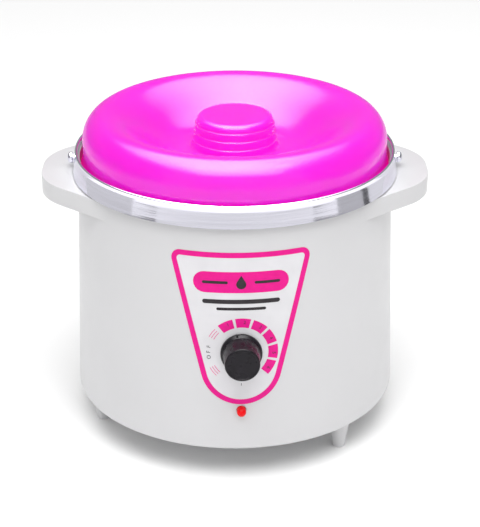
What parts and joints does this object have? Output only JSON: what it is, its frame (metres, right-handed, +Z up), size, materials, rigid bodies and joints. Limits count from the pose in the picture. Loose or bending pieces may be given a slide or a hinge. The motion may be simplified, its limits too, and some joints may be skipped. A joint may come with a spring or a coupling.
{
  "type": "wax warmer pot",
  "caption": "Salon wax warmer: round white heated drum on tapered feet, with side ears, front power control, lift-out metal wax pot and domed magenta lid.",
  "frame": {"origin": "on the table under the drum's axis", "axes": "+Z up, -Y towards the control knob and the user, +X to the right as seen from the front, towards one of the two ears"},
  "size_m": [0.2466, 0.2422, 0.2063],
  "materials": {
    "white_plastic": "smooth white moulding",
    "grey_plastic": "plain moulded",
    "black_plastic": "satin moulded",
    "black_rubber": "matt",
    "magenta_plastic": "translucent, polished",
    "amber_plastic": "dipped",
    "green_plastic": "moulded",
    "board_green": "lacquered laminate",
    "red_lens": "clear red moulding",
    "polished_steel": "polished",
    "aluminium": "spun and drawn",
    "steel": "plain",
    "zinc": "zinc plated",
    "dark_metal": "black anodised",
    "copper": "enamelled copper winding",
    "ceramic": "unglazed ceramic",
    "brown_lead": "silicone sleeve"
  },
  "bodies": {
    "casing": {"base_plate": "grey_plastic", "base_screw_1": "zinc", "base_screw_2": "zinc", "base_screw_3": "zinc", "board_screw_1": "zinc", "board_screw_2": "zinc", "board_screw_3": "zinc", "board_screw_4": "zinc", "ceramic_post_1": "ceramic", "ceramic_post_2": "ceramic", "ceramic_post_3": "ceramic", "choke_coil": "copper", "circuit_board": "board_green", "control_lead": "brown_lead", "control_nut": "steel", "control_washer": "steel", "cutout_screw_1": "zinc", "cutout_screw_2": "zinc", "element_cover": "steel", "film_capacitor": "amber_plastic", "foot_1": "white_plastic", "foot_2": "white_plastic", "foot_3": "white_plastic", "foot_screw_1": "zinc", "foot_screw_2": "zinc", "foot_screw_3": "zinc", "gland_body": "black_plastic", "gland_cap": "black_plastic", "gland_lock_nut": "black_plastic", "gland_seal": "black_rubber", "heat_shield": "aluminium", "heat_sink": "dark_metal", "heater_lead_left": "brown_lead", "heater_lead_right": "brown_lead", "heater_plate": "aluminium", "heating_element": "steel", "indicator_lamp": "red_lens", "lamp_clip": "black_plastic", "lamp_lead": "brown_lead", "outer_shell": "white_plastic", "post_screw_1": "zinc", "post_screw_2": "zinc", "post_screw_3": "zinc", "power_control": "steel", "shield_post_1": "zinc", "shield_post_2": "zinc", "shield_post_3": "zinc", "terminal_block": "green_plastic", "thermal_cutout": "steel", "triac": "black_plastic"},
    "pot": {"wax_pot": "aluminium", "rim_band": "polished_steel", "lifting_stud_left": "polished_steel", "lifting_stud_right": "polished_steel"},
    "lid": {"lid": "magenta_plastic"},
    "knob": {"control_knob": "black_plastic", "control_shaft": "steel"}
  },
  "joints": [
    {"name": "pot_lift", "type": "slide", "parent": "casing", "child": "pot", "axis": [0, 0, 1], "range_m": [0, 0.09]},
    {"name": "lid_lift", "type": "slide", "parent": "pot", "child": "lid", "axis": [0, 0, 1], "range_m": [0, 0.05]},
    {"name": "knob_turn", "type": "hinge", "parent": "casing", "child": "knob", "pos_m": [0.00376, -0.10262, 0.0887], "axis": [0.0366, -0.9988, 0.0332], "range_deg": [-147, 123]}
  ]
}
